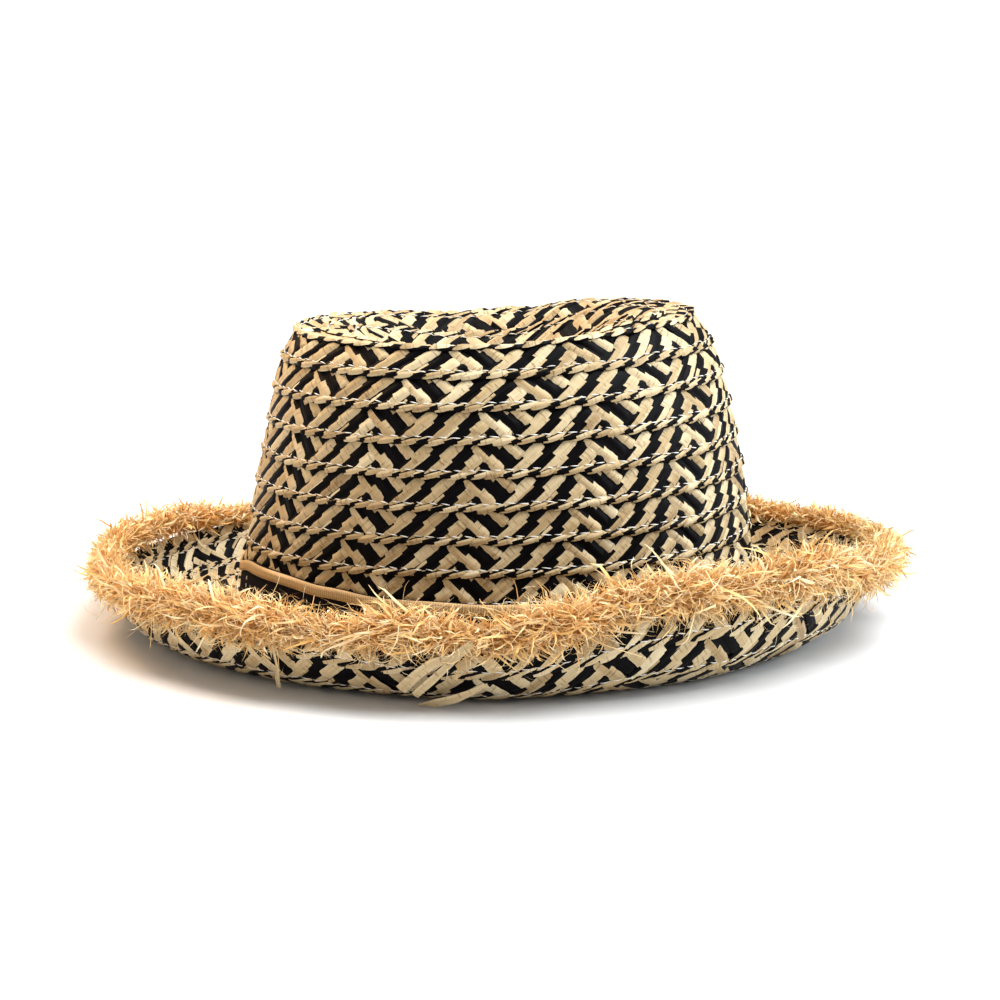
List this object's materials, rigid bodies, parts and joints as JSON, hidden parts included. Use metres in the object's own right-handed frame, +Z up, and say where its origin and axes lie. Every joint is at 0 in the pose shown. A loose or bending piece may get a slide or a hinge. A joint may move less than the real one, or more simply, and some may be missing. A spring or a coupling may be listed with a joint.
{
  "type": "straw fedora hat",
  "caption": "Sewn straw-braid fedora with a dented crown, a turned-up brim edged with a frayed raffia fringe, and a black grosgrain ribbon with a tan stripe.",
  "frame": {"origin": "middle of the hat on the surface that its brim rests on", "axes": "+X to the front of the hat, +Y to the wearer's left, +Z up out of the crown"},
  "size_m": [0.3271, 0.2878, 0.1213],
  "materials": {
    "straw_braid": "flat plaited straw, natural and black strands, satin",
    "ribbon_black": "ribbed grosgrain, matte",
    "ribbon_tan": "ribbed grosgrain, matte",
    "raffia": "frayed raffia shreds, satin"
  },
  "bodies": {
    "root": {"crown": "straw_braid", "brim": "straw_braid", "ribbon": "ribbon_black", "ribbon_stripe": "ribbon_tan", "fringe": "raffia"}
  },
  "joints": []
}
